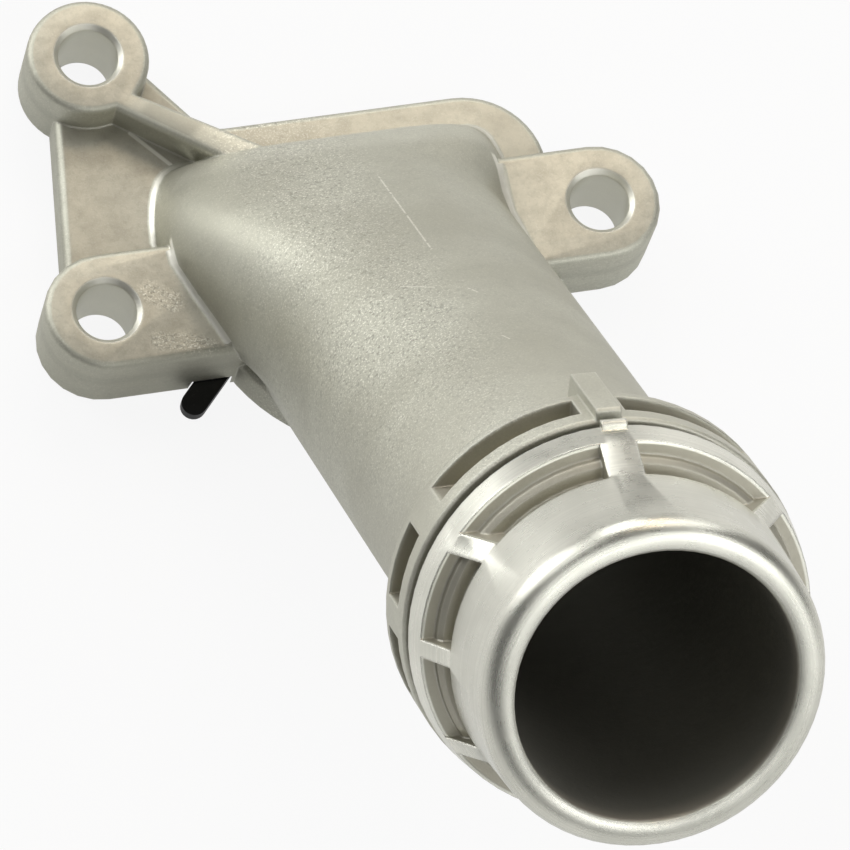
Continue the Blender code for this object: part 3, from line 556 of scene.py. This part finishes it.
def casting_material():
    """Cast and turned aluminium, brighter at its edges from scuffing and from painted highlight, with painted
    shade deep inside the bore.
    """
    graph = Graph("cast_and_machined_aluminium")
    place = graph.object_place()
    back, radius, outward = spigot_place(graph, place)
    masks = casting_masks(graph, place, back, radius, outward)
    cast = cast_skin(graph, place, masks)
    turned, rings = turned_skin(graph, place, back, radius)
    colour = graph.mix(masks["machined"], cast, turned)

    # Brighter edges, partly worn and partly painted highlight, painted highlights along the foot of the hood
    # and the plate's edge by the rib, and scratches; painted shade deep inside the bore.
    # The hood has no edges: its creases are rounded over a wide radius.
    rounding = graph.scale_range(masks["edged"], HOOD_ROUNDING, EDGE_ROUNDING)
    on_nose = graph.ramp(back, 5.0 * MM, 3.0 * MM)
    rounding = graph.maths("ADD", rounding, graph.times(on_nose, NOSE_ROUNDING - EDGE_ROUNDING))
    # Brighter edges: partly wear, partly painted highlight
    wear_and_highlight, round_normal = graph.edge_wear_and_highlight(rounding)
    worn_and_highlit = graph.times(wear_and_highlight, graph.scale_range(masks["mottle"], 0.3, 1.0))
    worn_and_highlit = graph.times(worn_and_highlit, masks["edged"])
    worn_and_highlit = graph.times(worn_and_highlit, graph.scale_range(masks["rib"], 1.0, 0.3))
    # Painted highlight along the foot of the hood
    foot_highlight = graph.times(masks["fillet"], graph.scale_range(masks["mottle"], 0.4, 1.0))
    rubbed_and_highlit = graph.greater(graph.times(worn_and_highlit, WEAR_AND_HIGHLIGHT_SHARE), foot_highlight)
    # Painted highlight along the plate's edge beside the rib
    rubbed_and_highlit = graph.greater(rubbed_and_highlit, graph.times(masks["crease"], WEAR_AND_HIGHLIGHT_SHARE))
    rubbed_and_highlit = graph.greater(rubbed_and_highlit, graph.times(masks["rim"], RIM_SHARE))
    colour = graph.mix(rubbed_and_highlit, colour, WORN_AND_HIGHLIGHT)
    scratches = all_scratches(graph, place, masks["coarse"])
    colour = graph.tint(scratches, SCRATCH_SHARE, colour, WORN_AND_HIGHLIGHT)
    # Painted shade: the bore darker deeper inside
    bore = graph.mix(graph.ramp(back, 2.0 * MM, 45.0 * MM), BORE_MOUTH, BORE_DEEP_SHADE)
    bore = graph.mix(graph.ramp(back, 4.0 * MM, 0.5 * MM), bore, BORE_RIM)
    colour = graph.mix(masks["bore"], colour, bore)
    graph.feed(graph.shader.inputs["Base Color"], colour)

    cast_rough = graph.scale_range(masks["grain"], *CAST_ROUGHNESS)
    turned_rough = graph.scale_range(masks["mottle"], *TURNED_ROUGHNESS)
    turned_rough = graph.maths("ADD", turned_rough, graph.scale_range(rings, *RING_ROUGHNESS))
    span = graph.maths("SUBTRACT", turned_rough, cast_rough)
    smooth = graph.greater(masks["machined"], graph.times(masks["hole"], HOLE_SMOOTHNESS))
    rough = graph.maths("ADD", cast_rough, graph.times(span, smooth))
    rough = graph.maths("SUBTRACT", rough, graph.times(rubbed_and_highlit, RUBBED_AND_HIGHLIT_GLOSS), clamp=True)
    graph.feed(graph.shader.inputs["Roughness"], rough)
    graph.shader.inputs["Metallic"].default_value = CAST_METALLIC

    relief = graph.maths("ADD", masks["grain"], graph.times(masks["coarse"], COARSE_RELIEF))
    relief = graph.times(relief, masks["blast"])
    relief = graph.maths("ADD", relief, graph.times(masks["mottle"], MOTTLE_RELIEF))
    relief = graph.times(relief, graph.maths("SUBTRACT", 1.0, masks["machined"]))
    ring_relief = graph.times(graph.times(rings, masks["machined"]), RING_RELIEF)
    relief = graph.maths("ADD", relief, ring_relief)
    graph.feed(graph.shader.inputs["Normal"], graph.bump(relief, CAST_BUMP, round_normal))
    return graph.material


def rubber_material():
    """Black moulded rubber with a little dust."""
    graph = Graph("gasket_rubber")
    place = graph.object_place()
    dust = graph.ramp(graph.noise(place, RUBBER_DUST_SCALE, 3.0, 0.7), 0.62, 0.72)
    colour = graph.mix(graph.noise(place, RUBBER_CLOUD_SCALE, 3.0), RUBBER_DARK, RUBBER_LIGHT)
    colour = graph.tint(dust, DUST_SHARE, colour, RUBBER_DUST)
    graph.feed(graph.shader.inputs["Base Color"], colour)
    roughness = graph.scale_range(graph.noise(place, RUBBER_GLOSS_SCALE, 3.0), *RUBBER_ROUGHNESS)
    graph.feed(graph.shader.inputs["Roughness"], roughness)
    relief = graph.noise(place, RUBBER_GRAIN_SCALE, 2.0)
    graph.feed(graph.shader.inputs["Normal"], graph.bump(relief, RUBBER_BUMP))
    graph.shader.inputs["Specular IOR Level"].default_value = RUBBER_SPECULAR
    return graph.material


def smooth_shading(obj):
    """Joins the faces at their corners and shades them smooth, apart from the sharp edges."""
    group = bpy.data.node_groups.new(f"{obj.name}_smooth", "GeometryNodeTree")
    group.interface.new_socket("Geometry", in_out="INPUT", socket_type="NodeSocketGeometry")
    group.interface.new_socket("Geometry", in_out="OUTPUT", socket_type="NodeSocketGeometry")
    start = group.nodes.new("NodeGroupInput")
    end = group.nodes.new("NodeGroupOutput")
    merge = group.nodes.new("GeometryNodeMergeByDistance")
    merge.inputs["Distance"].default_value = MERGE_DISTANCE
    edge = group.nodes.new("GeometryNodeInputMeshEdgeAngle")
    sharp = group.nodes.new("FunctionNodeCompare")
    sharp.data_type = "FLOAT"
    sharp.operation = "GREATER_THAN"
    sharp.inputs[1].default_value = SMOOTH_ANGLE
    normals = group.nodes.new("GeometryNodeSetMeshNormal")
    normals.mode = "SHARPNESS"
    normals.inputs["Remove Custom"].default_value = True
    normals.inputs["Face Sharpness"].default_value = False
    group.links.new(start.outputs[0], merge.inputs["Geometry"])
    group.links.new(edge.outputs["Unsigned Angle"], sharp.inputs[0])
    group.links.new(merge.outputs[0], normals.inputs["Mesh"])
    group.links.new(sharp.outputs[0], normals.inputs["Edge Sharpness"])
    group.links.new(normals.outputs[0], end.inputs[0])
    modifier = obj.modifiers.new("smooth", "NODES")
    modifier.node_group = group


def dress(node, material):
    """Gives a CAD node its material and its smooth shading."""
    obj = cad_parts[node]
    obj.data.materials.clear()
    obj.data.materials.append(material)
    smooth_shading(obj)


def add_camera():
    """The photo's own view."""
    data = bpy.data.cameras.new("camera")
    data.sensor_width = CAMERA_SENSOR
    data.lens = CAMERA_LENS
    data.clip_start, data.clip_end = CAMERA_CLIP
    camera = bpy.data.objects.new("camera", data)
    axes = Matrix((CAMERA_RIGHT, CAMERA_UP, CAMERA_BACK)).transposed()
    camera.matrix_world = Matrix.Translation(CAMERA_PLACE) @ axes.to_4x4()
    bpy.context.scene.collection.objects.link(camera)
    bpy.context.scene.camera = camera


def add_softbox(name, azimuth, elevation, size, power, colour=WHITE_LIGHT):
    """A square soft light that faces the object. The azimuth is from +X towards +Y, in degrees."""
    turn, rise = math.radians(azimuth), math.radians(elevation)
    heading = Vector((math.cos(rise) * math.cos(turn), math.cos(rise) * math.sin(turn), math.sin(rise)))
    data = bpy.data.lights.new(name, "AREA")
    data.shape = "SQUARE"
    data.size = size
    data.energy = power
    data.color = colour
    light = bpy.data.objects.new(name, data)
    light.location = OBJECT_CENTRE + heading * SOFTBOX_DISTANCE
    light.rotation_mode = "QUATERNION"
    light.rotation_quaternion = heading.to_track_quat("Z", "Y")
    bpy.context.scene.collection.objects.link(light)


def background_share(graph):
    """How much of the floor is plain white: most to the camera and through clear things, less in metal."""
    path = graph.tree.nodes.new("ShaderNodeLightPath")
    seen = graph.times(path.outputs["Is Camera Ray"], FLOOR_GLOW_TO_CAMERA)
    mirrored = graph.times(path.outputs["Is Glossy Ray"], FLOOR_GLOW_IN_METAL)
    through = graph.times(path.outputs["Is Transmission Ray"], FLOOR_GLOW_TO_CAMERA)
    return graph.greater(seen, graph.greater(mirrored, through))


def floor_material():
    """White to the camera, with part of the object's shadow kept."""
    graph = Graph("pale_floor")
    graph.shader.inputs["Base Color"].default_value = FLOOR_COLOUR
    graph.shader.inputs["Roughness"].default_value = FLOOR_ROUGHNESS
    glow = graph.tree.nodes.new("ShaderNodeEmission")
    glow.inputs["Strength"].default_value = 1.0
    mixed = graph.tree.nodes.new("ShaderNodeMixShader")
    graph.feed(mixed.inputs[0], background_share(graph))
    graph.feed(mixed.inputs[1], graph.shader.outputs[0])
    graph.feed(mixed.inputs[2], glow.outputs[0])
    graph.feed(graph.output.inputs["Surface"], mixed.outputs[0])
    return graph.material


def add_floor(level):
    """A plain floor, which isn't part of the object."""
    mesh = bpy.data.meshes.new("floor")
    half = FLOOR_HALF_WIDTH
    corners = [(-half, -half, level), (half, -half, level), (half, half, level), (-half, half, level)]
    mesh.from_pydata(corners, [], [(0, 1, 2, 3)])
    mesh.materials.append(floor_material())
    floor = bpy.data.objects.new("floor", mesh)
    bpy.context.scene.collection.objects.link(floor)
    floor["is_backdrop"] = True


def add_world():
    """White to the camera and faint to the object."""
    world = bpy.data.worlds.new("studio")
    world.use_nodes = True
    bpy.context.scene.world = world
    tree = world.node_tree
    light = tree.nodes["Background"]
    light.inputs["Color"].default_value = (*WHITE_LIGHT, 1.0)
    strength = tree.nodes.new("ShaderNodeMix")
    strength.data_type = "FLOAT"
    path = tree.nodes.new("ShaderNodeLightPath")
    tree.links.new(path.outputs["Is Camera Ray"], strength.inputs["Factor"])
    strength.inputs["A"].default_value = WORLD_LEVEL
    strength.inputs["B"].default_value = WORLD_TO_CAMERA
    tree.links.new(strength.outputs["Result"], light.inputs["Strength"])


bpy.context.view_layer.update()
dress("pipe_casting", casting_material())
dress("flange_gasket", rubber_material())

add_floor(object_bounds()[0].z - FLOOR_GAP)
add_world()
for softbox in SOFTBOXES:
    add_softbox(*softbox)
add_softbox(*WARM_SOFTBOX, WARM_LIGHT)
add_camera()
bpy.context.scene.view_settings.view_transform = "Standard"

bpy.context.view_layer.update()
